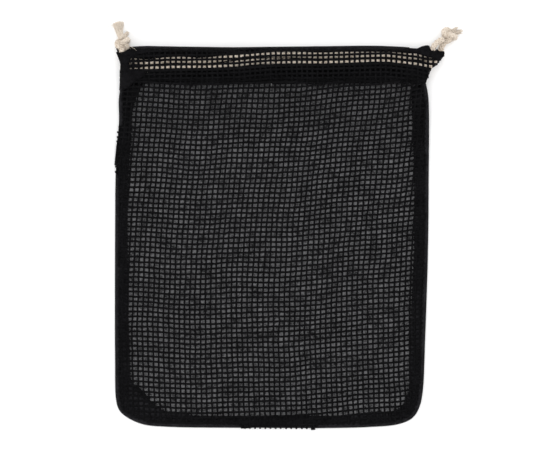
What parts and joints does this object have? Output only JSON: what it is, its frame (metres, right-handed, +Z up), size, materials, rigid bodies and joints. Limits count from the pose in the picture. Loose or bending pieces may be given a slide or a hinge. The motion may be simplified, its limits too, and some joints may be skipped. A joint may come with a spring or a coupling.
{
  "type": "drawstring mesh laundry bag",
  "caption": "Flat black drawstring laundry bag with an open cotton net front, a woven cloth back and cream double drawcords knotted at each end of the mouth.",
  "frame": {"origin": "on the underside of the back cloth, midway between the sides and midway between the bottom seam and the top of the mouth", "axes": "+X across the bag to the right, +Y from the bottom seam to the mouth, +Z up through the net front"},
  "size_m": [0.2778, 0.3239, 0.0194],
  "materials": {
    "black_cloth": "matt plain-woven cotton",
    "black_net": "matt open cotton net",
    "black_thread": "spun sewing thread",
    "cream_cord": "unbleached braided cotton"
  },
  "bodies": {
    "bag": {"back_cloth_panel": "black_cloth", "front_net_panel": "black_net", "back_cord_tunnel": "black_cloth", "front_cord_tunnel": "black_net", "left_seam_allowance": "black_cloth", "right_seam_allowance": "black_cloth", "bottom_seam_allowance": "black_cloth", "left_seam_thread": "black_thread", "right_seam_thread": "black_thread", "bottom_seam_thread": "black_thread", "front_hem_thread": "black_thread", "back_hem_thread": "black_thread"},
    "left_mouth": {"back_left_tunnel_end": "black_cloth", "front_left_tunnel_end": "black_net"},
    "right_mouth": {"back_right_tunnel_end": "black_cloth", "front_right_tunnel_end": "black_net"},
    "left_cord": {"left_drawcord": "cream_cord", "left_knot": "cream_cord", "left_cord_tips": "cream_cord"},
    "right_cord": {"right_drawcord": "cream_cord", "right_knot": "cream_cord", "right_cord_tips": "cream_cord"}
  },
  "joints": [
    {"name": "left_cord_pull", "type": "slide", "parent": "bag", "child": "left_cord", "axis": [-1, 0, 0], "range_m": [0, 0.06], "deforming": ["left_drawcord"]},
    {"name": "right_cord_pull", "type": "slide", "parent": "bag", "child": "right_cord", "axis": [1, 0, 0], "range_m": [0, 0.06], "deforming": ["right_drawcord"]},
    {"name": "left_mouth_gather", "type": "slide", "parent": "bag", "child": "left_mouth", "axis": [1, 0, 0], "range_m": [0, 0.06], "deforming": ["front_cord_tunnel", "back_cord_tunnel"]},
    {"name": "right_mouth_gather", "type": "slide", "parent": "bag", "child": "right_mouth", "axis": [-1, 0, 0], "range_m": [0, 0.06], "deforming": ["front_cord_tunnel", "back_cord_tunnel"]}
  ],
  "couplings": [
    {"joint": "right_mouth_gather", "follows": "left_cord_pull", "ratio": 1},
    {"joint": "left_mouth_gather", "follows": "right_cord_pull", "ratio": 1}
  ]
}
